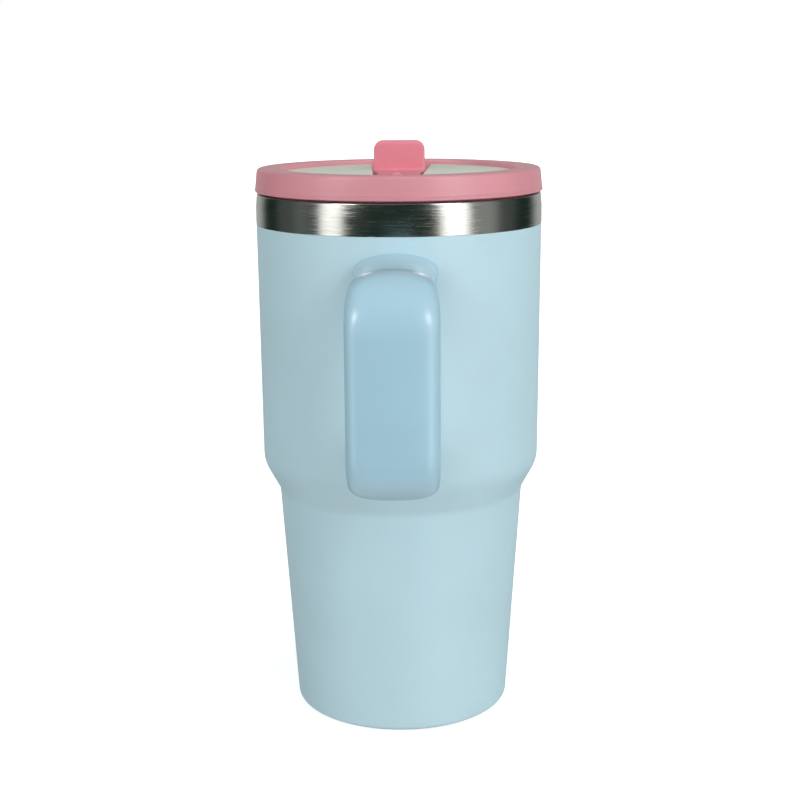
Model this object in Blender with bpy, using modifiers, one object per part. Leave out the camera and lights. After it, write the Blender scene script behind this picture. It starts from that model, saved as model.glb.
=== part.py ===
"""Insulated tumbler with a side handle and a press-in lid that has a flip lever.

Metres, +Z up. The origin is the centre of the base pad's flat underside, the cup's
axis is Z, and the handle points along -Y. The lid is seated and its lever is closed.
"""
import math

import bmesh
import bpy
from mathutils import Vector

MM = 0.001
GAP = 0.3 * MM                     # air between two pieces that touch
STEPS = 36                         # facets round a turned piece

# Cup: outer wall, from the base up
BASE_R = 37.4 * MM                 # wall radius carried down to the base plane
CREASE_R = 42.6 * MM
UPPER_R = 47.95 * MM
PAINT_TOP_R = 48.45 * MM
RIM_R = 48.1 * MM
FLANGE_R = 30.0 * MM               # inner edge of the wall's turned-in foot
WALL_FOOT_Z = 0.5 * MM
CREASE_Z = 79.0 * MM
SHOULDER_Z = 88.9 * MM
PAINT_TOP_Z = 170.9 * MM
RIM_Z = 181.2 * MM
BASE_FILLET = 2.4 * MM
CREASE_FILLET = 6.0 * MM
SHOULDER_FILLET = 11.0 * MM

# Cup: liner, vacuum space and base
STEEL_T = 0.7 * MM
WALL_SPACE = 3.6 * MM              # outside of the cup to the inside of the liner
MOUTH_R = 46.0 * MM                # bore that the lid presses into
MOUTH_DEPTH = 15.0 * MM
LINER_FLOOR_Z = 7.5 * MM
LINER_FILLET = 7.0 * MM
FOIL_T = 0.3 * MM
PLATE_Z = 1.6 * MM
PLATE_R = FLANGE_R - GAP
PAD_R = 29.4 * MM
PLUG_HOLE_R = 2.5 * MM
GETTER_R = 5.0 * MM
GETTER_T = 2.0 * MM
GETTER_X = 13.0 * MM

# Handle
HANDLE_FRONT_Y = -98.0 * MM
HANDLE_TOP_Z = 165.2 * MM
HANDLE_BOTTOM_Z = 97.0 * MM
HANDLE_HALF_T = 5.75 * MM
ARM_HALF_W = 12.2 * MM
GRIP_HALF_W = 13.8 * MM
UPPER_BEND_R = 18.0 * MM
LOWER_BEND_R = 14.0 * MM
HANDLE_SEAT_R = 48.6 * MM          # surface that the arms are cut to
SEAT_FACETS = 94                   # puts a facet, not an edge, on the handle's centre plane
SECTION_POINTS = 20
BEND_STEPS = 6

# Handle fixings: a bracket on the wall in each arm, held by an upright screw
BRACKET_PLATE = Vector((12.0, 2.4, 6.0)) * MM
BRACKET_TONGUE = Vector((10.0, 12.0, 2.0)) * MM
SCREW_Y = -57.5 * MM
SCREW_R = 1.5 * MM
SCREW_HEAD_R = 2.7 * MM
SCREW_HEAD_T = 1.8 * MM
SCREW_LENGTH = 7.4 * MM
SCREW_BORE_R = SCREW_R + GAP
SCREW_RECESS = 0.6 * MM

# Lid
LID_SEAT_Z = 181.8 * MM            # underside of the lid's ring, just clear of the rim
LID_TOP_Z = 189.5 * MM
LID_BEAD_R = 48.7 * MM
LID_TOP_R = 47.9 * MM
RECESS_R = 40.0 * MM
DECK_Z = 187.9 * MM                # top of the inserts
INSERT_T = 1.5 * MM
WEB_TOP_Z = DECK_Z - INSERT_T - GAP
WEB_T = 1.8 * MM
PLUG_R = 44.6 * MM
PLUG_WALL_T = 1.8 * MM
PLUG_BOTTOM_Z = 168.0 * MM
GROOVE_R = 43.9 * MM
GROOVE_Z = (171.8 * MM, 175.2 * MM)
UNDERSIDE_T = 1.6 * MM

# Channel across the lid, a little wider behind the lever than in front of it
CHANNEL_FLOOR_Z = 178.0 * MM
CHANNEL_HALF_W = 9.3 * MM          # at the lever's corner
CHANNEL_FLARE = math.tan(math.radians(2.75))
CHANNEL_END_R = 39.6 * MM
TROUGH_T = 1.8 * MM

# Drink hole at the front of the channel
DRINK_Y = -27.0 * MM
DRINK_R = 5.4 * MM
DRINK_TUBE_R = 6.6 * MM
DRINK_TUBE_Z = 166.0 * MM

# Flip lever: a tongue over the drink hole, a thumb tab, and a barrel on the hinge pin
TAB_FRONT_Y = 10.3 * MM
TAB_T = 4.2 * MM
TAB_TOP_Z = 197.8 * MM
TAB_HALF_W = 8.8 * MM
TAB_CORNER_R = 3.2 * MM
TONGUE_TOP_Z = 187.7 * MM
TONGUE_T = 4.0 * MM
TONGUE_TIP_Y = -36.4 * MM
TONGUE_NARROWING = 0.072           # half width lost per length towards the tip
LEVER_FILLET = 1.5 * MM
HINGE_Y = TAB_FRONT_Y + TAB_T / 2
HINGE_Z = 182.5 * MM
BARREL_R = 3.4 * MM
BARREL_HALF_L = 8.7 * MM
PIN_R = 1.2 * MM
PIN_HALF_L = 10.9 * MM
NIB_SIZE = Vector((2.6, 1.3, 2.2)) * MM
NIB_Y = -34.6 * MM
STOPPER_FLANGE_R = 6.8 * MM
STOPPER_FLANGE_T = 2.0 * MM
STOPPER_STEM_R = 4.0 * MM
STOPPER_PLUG_R = 4.9 * MM
STOPPER_TIP_R = 4.3 * MM
STOPPER_TIP_Z = 175.4 * MM

MATERIALS = {
    "blue_coat": ((0.42, 0.62, 0.71), 0.42, 0.0),
    "brushed_steel": ((0.62, 0.61, 0.58), 0.32, 1.0),
    "copper_foil": ((0.80, 0.45, 0.30), 0.25, 1.0),
    "getter_alloy": ((0.25, 0.25, 0.26), 0.60, 1.0),
    "base_rubber": ((0.30, 0.36, 0.40), 0.75, 0.0),
    "blue_plastic": ((0.42, 0.62, 0.71), 0.35, 0.0),
    "zinc_screw": ((0.60, 0.60, 0.60), 0.35, 1.0),
    "pink_plastic": ((0.68, 0.25, 0.32), 0.38, 0.0),
    "pale_insert": ((0.72, 0.78, 0.72), 0.25, 0.0),
    "clear_silicone": ((0.80, 0.80, 0.78), 0.45, 0.0),
}


def clear_scene():
    """Remove every object that is in the open file."""
    for existing in list(bpy.data.objects):
        bpy.data.objects.remove(existing, do_unlink=True)


def new_collection(name):
    collection = bpy.data.collections.new(name)
    bpy.context.scene.collection.children.link(collection)
    return collection


def make_materials():
    """One Principled material for each finish in the table above."""
    made = {}
    for name, (color, roughness, metallic) in MATERIALS.items():
        material = bpy.data.materials.new(name)
        material.use_nodes = True
        shader = material.node_tree.nodes["Principled BSDF"]
        shader.inputs["Base Color"].default_value = (*color, 1.0)
        shader.inputs["Roughness"].default_value = roughness
        shader.inputs["Metallic"].default_value = metallic
        material.diffuse_color = (*color, 1.0)
        made[name] = material
    return made


def add_part(name, mesh, material_name):
    """Put a mesh in the tumbler's collection as a named, finished sub-part."""
    part = bpy.data.objects.new(name, mesh)
    mesh.materials.append(FINISHES[material_name])
    PARTS.objects.link(part)
    return part


def add_cutter(name, mesh):
    """Put a mesh among the cutters, which are guides and not parts."""
    cutter = bpy.data.objects.new(name, mesh)
    cutter.display_type = "WIRE"
    cutter.hide_render = True
    CUTTERS.objects.link(cutter)
    return cutter


def corner_arc(before, corner, after, radius, segments):
    """Points of the fillet of this radius at the corner of two straight runs."""
    into = (corner - before).normalized()
    out = (after - corner).normalized()
    turn = into.angle(out)
    if radius <= 0.0 or turn < 1e-4:
        return [corner]
    reach = radius * math.tan(turn / 2)
    start = corner - into * reach
    side = (out - into * into.dot(out)).normalized()
    centre = start + side * radius
    points = []
    for step in range(segments + 1):
        angle = turn * step / segments
        points.append(centre - side * radius * math.cos(angle) + into * radius * math.sin(angle))
    return points


def rounded_line(corners, segments=4, closed=False):
    """A 2-D line through (x, y, fillet radius) corners, with each corner rounded."""
    spots = [Vector((x, y)) for x, y, radius in corners]
    count = len(corners)
    points = []
    for index, (x, y, radius) in enumerate(corners):
        is_end = not closed and index in (0, count - 1)
        if is_end:
            points.append(spots[index])
            continue
        before = spots[index - 1]
        after = spots[(index + 1) % count]
        points.extend(corner_arc(before, spots[index], after, radius, segments))
    return points


def turned_mesh(name, line, closed):
    """Mesh of a profile of (radius, height) points, ready to be turned round Z."""
    mesh = bpy.data.meshes.new(name)
    verts = [(point.x, 0.0, point.y) for point in line]
    edges = [(i, i + 1) for i in range(len(verts) - 1)]
    if closed:
        edges.append((len(verts) - 1, 0))
    mesh.from_pydata(verts, edges, [])
    return mesh


def add_screw(turned, steps):
    screw = turned.modifiers.new("Turn", "SCREW")
    screw.steps = steps
    screw.render_steps = steps
    screw.use_merge_vertices = True
    screw.merge_threshold = 0.00005
    screw.use_smooth_shade = True
    return screw


def turned_solid(name, line, material_name, closed=False, steps=STEPS):
    """A solid of revolution: a profile that starts and ends on the axis, or a closed ring."""
    part = add_part(name, turned_mesh(name, line, closed), material_name)
    add_screw(part, steps)
    return part


def turned_shell(name, line, thickness, material_name, steps=STEPS):
    """A sheet of revolution. It thickens towards the right of the line's direction."""
    part = add_part(name, turned_mesh(name, line, False), material_name)
    add_screw(part, steps)
    shell = part.modifiers.new("Sheet", "SOLIDIFY")
    shell.thickness = thickness
    shell.offset = -1.0
    shell.use_even_offset = True
    return part


def box_mesh(name, low, high):
    """A box between two opposite corners."""
    mesh = bpy.data.meshes.new(name)
    shape = bmesh.new()
    bmesh.ops.create_cube(shape, size=1.0)
    size = Vector(high) - Vector(low)
    middle = (Vector(high) + Vector(low)) / 2
    bmesh.ops.scale(shape, vec=size, verts=shape.verts)
    bmesh.ops.translate(shape, vec=middle, verts=shape.verts)
    shape.to_mesh(mesh)
    shape.free()
    return mesh


def cylinder_mesh(name, radius, start, end, top_radius=None, segments=24):
    """A capped cylinder or cone from one point to another, radius first at the start."""
    mesh = bpy.data.meshes.new(name)
    shape = bmesh.new()
    run = Vector(end) - Vector(start)
    far_radius = radius if top_radius is None else top_radius
    bmesh.ops.create_cone(shape, cap_ends=True, segments=segments, radius1=radius,
                          radius2=far_radius, depth=run.length)
    turn = Vector((0, 0, 1)).rotation_difference(run.normalized()).to_matrix()
    bmesh.ops.rotate(shape, matrix=turn, verts=shape.verts)
    bmesh.ops.translate(shape, vec=(Vector(start) + Vector(end)) / 2, verts=shape.verts)
    shape.to_mesh(mesh)
    shape.free()
    return mesh


def prism_mesh(name, outline, low, high, plane="XY"):
    """A flat outline given a thickness: low and high are along the plane's normal."""
    curve = bpy.data.curves.new(name, "CURVE")
    curve.dimensions = "2D"
    curve.fill_mode = "BOTH"
    curve.extrude = (high - low) / 2
    spline = curve.splines.new("POLY")
    spline.points.add(len(outline) - 1)
    for point, spot in zip(spline.points, outline):
        point.co = (spot[0], spot[1], 0.0, 1.0)
    spline.use_cyclic_u = True
    guide = bpy.data.objects.new(name, curve)
    CUTTERS.objects.link(guide)
    evaluated = guide.evaluated_get(bpy.context.evaluated_depsgraph_get())
    mesh = bpy.data.meshes.new_from_object(evaluated)
    bpy.data.objects.remove(guide, do_unlink=True)
    bpy.data.curves.remove(curve)
    shape = bmesh.new()
    shape.from_mesh(mesh)
    bmesh.ops.remove_doubles(shape, verts=shape.verts, dist=0.00002)
    middle = (low + high) / 2
    for vert in shape.verts:
        a, b, c = vert.co.x, vert.co.y, vert.co.z + middle
        vert.co = {"XY": (a, b, c), "YZ": (c, a, b), "XZ": (a, -c, b)}[plane]
    bmesh.ops.recalc_face_normals(shape, faces=shape.faces)
    shape.to_mesh(mesh)
    shape.free()
    return mesh


def combine(part, cutter, operation):
    boolean = part.modifiers.new(operation.title(), "BOOLEAN")
    boolean.object = cutter
    boolean.operation = operation
    boolean.solver = "EXACT"


def smooth(part, angle=35.0):
    part.data.shade_smooth()
    part.data.set_sharp_from_angle(angle=math.radians(angle))


# ---------------------------------------------------------------- cup

def wall_corners(inset):
    """Corners of the cup wall's line from the paint's top edge down, moved in by inset."""
    return [
        (PAINT_TOP_R - inset, PAINT_TOP_Z, 0.0),
        (UPPER_R - inset, SHOULDER_Z - 0.2 * inset, SHOULDER_FILLET - inset),
        (CREASE_R - inset, CREASE_Z - 0.2 * inset, CREASE_FILLET + inset),
    ]


def make_outer_wall():
    """The painted wall: base foot, lower taper, shoulder and upper wall."""
    corners = wall_corners(0.0)
    corners.append((BASE_R, WALL_FOOT_Z, BASE_FILLET))
    corners.append((FLANGE_R, WALL_FOOT_Z, 0.0))
    return turned_shell("outer_wall", rounded_line(corners), STEEL_T, "blue_coat")


def make_inner_liner():
    """The steel liner, rolled over at the rim and down outside to the paint line."""
    rim_round = (RIM_R - MOUTH_R) / 2 - 0.05 * MM
    inside = wall_corners(WALL_SPACE)
    corners = [
        (0.0, LINER_FLOOR_Z, 0.0),
        (BASE_R - WALL_SPACE, LINER_FLOOR_Z, LINER_FILLET),
        inside[2],
        inside[1],
        (PAINT_TOP_R - WALL_SPACE, RIM_Z - MOUTH_DEPTH - 4.0 * MM, 2.0 * MM),
        (MOUTH_R, RIM_Z - MOUTH_DEPTH, 2.0 * MM),
        (MOUTH_R, RIM_Z, rim_round),
        (RIM_R, RIM_Z, rim_round),
        (PAINT_TOP_R + 0.05 * MM, PAINT_TOP_Z + 6.0 * MM, 3.0 * MM),
        (PAINT_TOP_R + 0.05 * MM, PAINT_TOP_Z + GAP, 0.0),
    ]
    return turned_shell("inner_liner", rounded_line(corners, 2), STEEL_T, "brushed_steel")


def make_foil_wrap():
    """Reflective foil round the liner, inside the vacuum space."""
    inset = STEEL_T + 0.9 * MM
    corners = wall_corners(inset)
    corners[0] = (PAINT_TOP_R - inset, RIM_Z - MOUTH_DEPTH - 8.0 * MM, 0.0)
    corners.append((BASE_R - inset + 0.7 * MM, 12.0 * MM, 0.0))
    return turned_shell("foil_wrap", rounded_line(corners, 2), FOIL_T, "copper_foil", 32)


def make_base():
    """Base plate with its evacuation hole, the braze that seals it, the getter and the pad."""
    plate_top = PLATE_Z + STEEL_T
    plate_line = rounded_line([
        (PLUG_HOLE_R, plate_top, 0.0), (PLATE_R, plate_top, 0.0),
        (PLATE_R, PLATE_Z, 0.0), (PLUG_HOLE_R, PLATE_Z, 0.0)], closed=True)
    turned_solid("base_plate", plate_line, "brushed_steel", closed=True)
    seal_line = rounded_line([
        (0.0, plate_top + 0.4 * MM, 0.0), (PLUG_HOLE_R - GAP, plate_top + 0.4 * MM, 0.6 * MM),
        (PLUG_HOLE_R - GAP, PLATE_Z + 0.1 * MM, 0.0), (0.0, PLATE_Z + 0.1 * MM, 0.0)], 2)
    turned_solid("vacuum_seal", seal_line, "getter_alloy", steps=16)
    getter_low = plate_top + GAP
    getter = add_part("getter", cylinder_mesh(
        "getter", GETTER_R, (GETTER_X, 0, getter_low),
        (GETTER_X, 0, getter_low + GETTER_T)), "getter_alloy")
    smooth(getter)
    pad_top = PLATE_Z - GAP
    pad_line = rounded_line([
        (0.0, pad_top, 0.0), (PAD_R, pad_top, 0.0),
        (PAD_R, 0.0, 0.4 * MM), (0.0, 0.0, 0.0)], 2)
    turned_solid("base_pad", pad_line, "base_rubber")


# ---------------------------------------------------------------- handle

def handle_path():
    """Centre line of the handle in Y and Z, from inside the cup's wall and back to it."""
    top = HANDLE_TOP_Z - HANDLE_HALF_T
    bottom = HANDLE_BOTTOM_Z + HANDLE_HALF_T
    front = HANDLE_FRONT_Y + HANDLE_HALF_T
    root = -42.0 * MM
    corners = [
        (root, top, 0.0), (-60.0 * MM, top, 0.0),
        (front, top, UPPER_BEND_R - HANDLE_HALF_T),
        (front, 129.0 * MM, 0.0),
        (front, bottom, LOWER_BEND_R - HANDLE_HALF_T),
        (-60.0 * MM, bottom, 0.0), (root, bottom, 0.0),
    ]
    return rounded_line(corners, BEND_STEPS)


def handle_section(spread):
    """A rounded section of (across, outwards) points; spread is 0 on the arms, 1 on the grip."""
    half_w = ARM_HALF_W + (GRIP_HALF_W - ARM_HALF_W) * spread
    power = 2.0 / (2.15 + 1.05 * spread)
    points = []
    for step in range(SECTION_POINTS):
        angle = 2 * math.pi * step / SECTION_POINTS
        c, s = math.cos(angle), math.sin(angle)
        across = math.copysign(abs(c) ** power, c) * half_w
        outwards = math.copysign(abs(s) ** power, s) * HANDLE_HALF_T
        points.append((across, outwards))
    return points


def loft_mesh(name, rings):
    """A closed skin through rings that have the same number of points."""
    mesh = bpy.data.meshes.new(name)
    shape = bmesh.new()
    rows = [[shape.verts.new(point) for point in ring] for ring in rings]
    count = len(rows[0])
    for row, following in zip(rows, rows[1:]):
        for i in range(count):
            j = (i + 1) % count
            shape.faces.new((row[i], row[j], following[j], following[i]))
    shape.faces.new(rows[0])
    shape.faces.new(rows[-1])
    bmesh.ops.recalc_face_normals(shape, faces=shape.faces)
    shape.to_mesh(mesh)
    shape.free()
    return mesh


def make_handle():
    """The moulded handle, cut to the cup's wall and bored for its brackets and screws."""
    path = handle_path()
    rings = []
    for index, spot in enumerate(path):
        ahead = path[min(index + 1, len(path) - 1)]
        behind = path[max(index - 1, 0)]
        along = (ahead - behind).normalized()
        outwards = Vector((along.y, -along.x))
        reach = (spot.x - path[0].x) / (HANDLE_FRONT_Y + HANDLE_HALF_T - path[0].x)
        spread = max(0.0, min(1.0, reach * 1.6 - 0.6))
        ring = []
        for across, out in handle_section(spread):
            flat = spot - outwards * out
            ring.append((across, flat.x, flat.y))
        rings.append(ring)
    handle = add_part("handle", loft_mesh("handle", rings), "blue_plastic")
    for level, arm_z, underside in arm_levels():
        cut_bracket_pocket(handle, level, arm_z)
        cut_screw_bore(handle, level, arm_z, underside)
    seat = add_cutter("handle_seat", cylinder_mesh(
        "handle_seat", HANDLE_SEAT_R, (0, 0, 60 * MM), (0, 0, 200 * MM),
        segments=SEAT_FACETS))
    combine(handle, seat, "DIFFERENCE")
    smooth(handle)


def arm_levels():
    """Name, centre height and underside height of each arm."""
    upper = HANDLE_TOP_Z - HANDLE_HALF_T
    lower = HANDLE_BOTTOM_Z + HANDLE_HALF_T
    return [("upper", upper, upper - HANDLE_HALF_T), ("lower", lower, lower - HANDLE_HALF_T)]


def bracket_boxes(arm_z, grow):
    """Low and high corners of a bracket's wall plate and of its tongue, grown all round."""
    plate_front = -HANDLE_SEAT_R - BRACKET_PLATE.y + 0.6 * MM
    plate = (
        (-BRACKET_PLATE.x / 2 - grow, plate_front - grow, arm_z - BRACKET_PLATE.z / 2 - grow),
        (BRACKET_PLATE.x / 2 + grow, -44.0 * MM, arm_z + BRACKET_PLATE.z / 2 + grow))
    tongue = (
        (-BRACKET_TONGUE.x / 2 - grow, plate_front - BRACKET_TONGUE.y - grow,
         arm_z - BRACKET_TONGUE.z / 2 - grow),
        (BRACKET_TONGUE.x / 2 + grow, plate_front + 0.8 * MM, arm_z + BRACKET_TONGUE.z / 2 + grow))
    return plate, tongue


def cut_bracket_pocket(handle, level, arm_z):
    for label, (low, high) in zip(("plate", "tongue"), bracket_boxes(arm_z, GAP)):
        name = f"{level}_{label}_pocket"
        combine(handle, add_cutter(name, box_mesh(name, low, high)), "DIFFERENCE")


def screw_heights(arm_z, underside):
    """Heights of a screw's head face, its shoulder and its tip."""
    face = underside + SCREW_RECESS
    shoulder = face + SCREW_HEAD_T
    return face, shoulder, shoulder + SCREW_LENGTH - SCREW_HEAD_T


def cut_screw_bore(handle, level, arm_z, underside):
    face, shoulder, tip = screw_heights(arm_z, underside)
    recess = add_cutter(f"{level}_screw_recess", cylinder_mesh(
        "recess", SCREW_HEAD_R + GAP, (0, SCREW_Y, underside - 3 * MM),
        (0, SCREW_Y, shoulder + GAP)))
    bore = add_cutter(f"{level}_screw_bore", cylinder_mesh(
        "bore", SCREW_BORE_R, (0, SCREW_Y, shoulder), (0, SCREW_Y, tip + GAP), segments=16))
    combine(handle, recess, "DIFFERENCE")
    combine(handle, bore, "DIFFERENCE")


def make_bracket(level, arm_z):
    """A welded bracket: a plate shaped to the wall and a tongue with a hole for the screw."""
    plate, tongue = bracket_boxes(arm_z, 0.0)
    name = f"{level}_bracket"
    bracket = add_part(name, box_mesh(name, *plate), "brushed_steel")
    tongue_cutter = add_cutter(f"{level}_tongue", box_mesh(f"{level}_tongue", *tongue))
    combine(bracket, tongue_cutter, "UNION")
    wall = add_cutter(f"{level}_bracket_seat", cylinder_mesh(
        f"{level}_bracket_seat", HANDLE_SEAT_R, (0, 0, arm_z - 20 * MM),
        (0, 0, arm_z + 20 * MM), segments=SEAT_FACETS))
    combine(bracket, wall, "DIFFERENCE")
    hole = add_cutter(f"{level}_bracket_hole", cylinder_mesh(
        f"{level}_bracket_hole", SCREW_BORE_R, (0, SCREW_Y, arm_z - 4 * MM),
        (0, SCREW_Y, arm_z + 4 * MM), segments=16))
    combine(bracket, hole, "DIFFERENCE")


def make_screw(level, arm_z, underside):
    """A pan-head screw with a cross recess, upright, its head underneath."""
    face, shoulder, tip = screw_heights(arm_z, underside)
    name = f"{level}_screw"
    line = rounded_line([
        (0.0, tip, 0.0), (SCREW_R * 0.6, tip, 0.0), (SCREW_R, tip - 0.8 * MM, 0.0),
        (SCREW_R, shoulder, 0.0), (SCREW_HEAD_R, shoulder, 0.0),
        (SCREW_HEAD_R, face, 0.6 * MM), (0.0, face, 0.0)], 2)
    screw = turned_solid(name, line, "zinc_screw", steps=16)
    screw.location = (0.0, SCREW_Y, 0.0)
    arm = SCREW_HEAD_R * 0.62
    slot = 0.4 * MM
    for label, x, y in (("a", arm, slot), ("b", slot, arm)):
        cutter = add_cutter(f"{name}_cross_{label}", box_mesh(
            f"{name}_cross_{label}", (-x, SCREW_Y - y, face - 1 * MM),
            (x, SCREW_Y + y, face + 1.0 * MM)))
        combine(screw, cutter, "DIFFERENCE")


# ---------------------------------------------------------------- lid

def channel_outline(margin, end_radius, arc_steps=6):
    """Plan of the channel: flared sides that end on a circle round the lid's axis."""
    def side_meets_circle(sign):
        offset = CHANNEL_HALF_W + margin - CHANNEL_FLARE * TAB_FRONT_Y
        a = 1 + CHANNEL_FLARE ** 2
        b = 2 * CHANNEL_FLARE * offset
        c = offset ** 2 - end_radius ** 2
        y = (-b + sign * math.sqrt(b * b - 4 * a * c)) / (2 * a)
        return offset + CHANNEL_FLARE * y, y

    points = []
    for sign in (-1, 1):
        x, y = side_meets_circle(sign)
        half = math.atan2(x, abs(y))
        for step in range(arc_steps + 1):
            angle = half * (2 * step / arc_steps - 1)
            points.append((-sign * math.sin(angle) * end_radius,
                           sign * math.cos(angle) * end_radius))
    return points


def make_lid_body():
    """Lid ring, web and plug wall in one moulding, with the channel, drink tube and holes."""
    inner_plug = PLUG_R - PLUG_WALL_T
    line = rounded_line([
        (0.0, WEB_TOP_Z, 0.0), (RECESS_R, WEB_TOP_Z, 0.0),
        (RECESS_R, LID_TOP_Z, 0.4 * MM), (LID_TOP_R, LID_TOP_Z, 1.1 * MM),
        (LID_BEAD_R - 0.3 * MM, 185.2 * MM, 3.0 * MM), (LID_BEAD_R, 184.0 * MM, 0.8 * MM),
        (LID_BEAD_R, 182.4 * MM, 0.4 * MM), (47.4 * MM, LID_SEAT_Z, 0.3 * MM),
        (PLUG_R, LID_SEAT_Z, 0.0),
        (PLUG_R, GROOVE_Z[1], 0.0), (GROOVE_R, GROOVE_Z[1], 0.0),
        (GROOVE_R, GROOVE_Z[0], 0.0), (PLUG_R, GROOVE_Z[0], 0.0),
        (PLUG_R, PLUG_BOTTOM_Z, 0.5 * MM), (inner_plug, PLUG_BOTTOM_Z, 0.0),
        (inner_plug, WEB_TOP_Z - WEB_T, 0.0), (0.0, WEB_TOP_Z - WEB_T, 0.0)], 2)
    lid = turned_solid("lid_body", line, "pink_plastic")
    trough = add_cutter("trough", prism_mesh(
        "trough", channel_outline(TROUGH_T, CHANNEL_END_R + TROUGH_T),
        CHANNEL_FLOOR_Z - TROUGH_T, WEB_TOP_Z - 0.1 * MM))
    tube = add_cutter("drink_tube", cylinder_mesh(
        "drink_tube", DRINK_TUBE_R, (0, DRINK_Y, DRINK_TUBE_Z), (0, DRINK_Y, CHANNEL_FLOOR_Z - MM)))
    channel = add_cutter("channel", prism_mesh(
        "channel", channel_outline(0.0, CHANNEL_END_R), CHANNEL_FLOOR_Z, LID_TOP_Z + MM))
    drink_hole = add_cutter("drink_hole", cylinder_mesh(
        "drink_hole", DRINK_R, (0, DRINK_Y, DRINK_TUBE_Z - MM), (0, DRINK_Y, CHANNEL_FLOOR_Z + MM)))
    pin_hole = add_cutter("pin_hole", cylinder_mesh(
        "pin_hole", PIN_R + GAP, (-PIN_HALF_L - 3 * MM, HINGE_Y, HINGE_Z),
        (PIN_HALF_L + 3 * MM, HINGE_Y, HINGE_Z), segments=16))
    combine(lid, trough, "UNION")
    combine(lid, tube, "UNION")
    combine(lid, channel, "DIFFERENCE")
    combine(lid, drink_hole, "DIFFERENCE")
    combine(lid, pin_hole, "DIFFERENCE")


def make_inserts():
    """The two pale inserts that lie in the lid's recess, one on each side of the channel."""
    radius = RECESS_R - GAP
    line = rounded_line([
        (0.0, DECK_Z, 0.0), (radius, DECK_Z, 0.3 * MM),
        (radius, DECK_Z - INSERT_T, 0.0), (0.0, DECK_Z - INSERT_T, 0.0)], 2)
    reach = RECESS_R + 4 * MM
    edge = CHANNEL_HALF_W + GAP
    for side, name in ((-1, "left_insert"), (1, "right_insert")):
        insert = turned_solid(name, line, "pale_insert", steps=64)
        near = side * (edge - CHANNEL_FLARE * (reach + TAB_FRONT_Y))
        far = side * (edge + CHANNEL_FLARE * (reach - TAB_FRONT_Y))
        outline = [(near, -reach), (far, reach), (-side * reach, reach), (-side * reach, -reach)]
        cutter = add_cutter(f"{name}_cut", prism_mesh(
            f"{name}_cut", outline, DECK_Z - 4 * MM, DECK_Z + 2 * MM))
        combine(insert, cutter, "DIFFERENCE")


def make_lid_underside():
    """The cover under the lid's air space, holed for the drink tube."""
    radius = PLUG_R - PLUG_WALL_T - GAP
    low = PLUG_BOTTOM_Z + 0.4 * MM
    line = rounded_line([
        (0.0, low + UNDERSIDE_T, 0.0), (radius, low + UNDERSIDE_T, 0.0),
        (radius, low, 0.5 * MM), (0.0, low, 0.0)], 2)
    cover = turned_solid("lid_underside", line, "pink_plastic")
    hole = add_cutter("underside_hole", cylinder_mesh(
        "underside_hole", DRINK_TUBE_R + GAP, (0, DRINK_Y, low - MM),
        (0, DRINK_Y, low + UNDERSIDE_T + MM)))
    combine(cover, hole, "DIFFERENCE")


def make_gasket():
    """Silicone ring in the plug's groove, with two lips that seal on the mouth."""
    low = GROOVE_Z[0] + GAP
    high = GROOVE_Z[1] - GAP
    root = PLUG_R + 0.35 * MM
    lip = MOUTH_R - GAP
    line = rounded_line([
        (GROOVE_R + GAP, high, 0.0), (root, high, 0.0), (lip, high - 0.4 * MM, 0.0),
        (lip, high - 0.9 * MM, 0.0), (root, high - 1.1 * MM, 0.0), (root, low + 1.1 * MM, 0.0),
        (lip, low + 0.9 * MM, 0.0), (lip, low + 0.4 * MM, 0.0), (root, low, 0.0),
        (GROOVE_R + GAP, low, 0.0)], closed=True)
    turned_solid("lid_gasket", line, "clear_silicone", closed=True)


def tongue_outline():
    """Plan of the lever: straight beside the tab, narrowing to a round tip at the front."""
    back = TAB_FRONT_Y + TAB_T + 4 * MM
    tip_half = TAB_HALF_W - TONGUE_NARROWING * (TAB_FRONT_Y - TONGUE_TIP_Y)
    corners = [
        (TAB_HALF_W, back, 0.0), (-TAB_HALF_W, back, 0.0), (-TAB_HALF_W, TAB_FRONT_Y, 0.0),
        (-tip_half, TONGUE_TIP_Y, tip_half * 0.8), (tip_half, TONGUE_TIP_Y, tip_half * 0.8),
        (TAB_HALF_W, TAB_FRONT_Y, 0.0)]
    return rounded_line(corners, 5, closed=True)


def lever_side():
    """Side view of the lever in Y and Z: the tab stands up from the back of the tongue."""
    tab_back = TAB_FRONT_Y + TAB_T
    corners = [
        (tab_back, TAB_TOP_Z, 1.8 * MM), (TAB_FRONT_Y, TAB_TOP_Z, 1.8 * MM),
        (TAB_FRONT_Y, TONGUE_TOP_Z, LEVER_FILLET), (TONGUE_TIP_Y, TONGUE_TOP_Z, 0.6 * MM),
        (TONGUE_TIP_Y, TONGUE_TOP_Z - TONGUE_T, 1.2 * MM),
        (TAB_FRONT_Y - 2 * MM, TONGUE_TOP_Z - TONGUE_T, 0.0),
        (TAB_FRONT_Y, HINGE_Z, 0.0), (tab_back, HINGE_Z, 0.0)]
    return rounded_line(corners, 4, closed=True)


def tab_front():
    """Front view of the lever in X and Z: a plate with round top corners."""
    low = HINGE_Z - 8 * MM
    corners = [
        (TAB_HALF_W, low, 0.0), (TAB_HALF_W, TAB_TOP_Z, TAB_CORNER_R),
        (-TAB_HALF_W, TAB_TOP_Z, TAB_CORNER_R), (-TAB_HALF_W, low, 0.0)]
    return rounded_line(corners, 5, closed=True)


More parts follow.
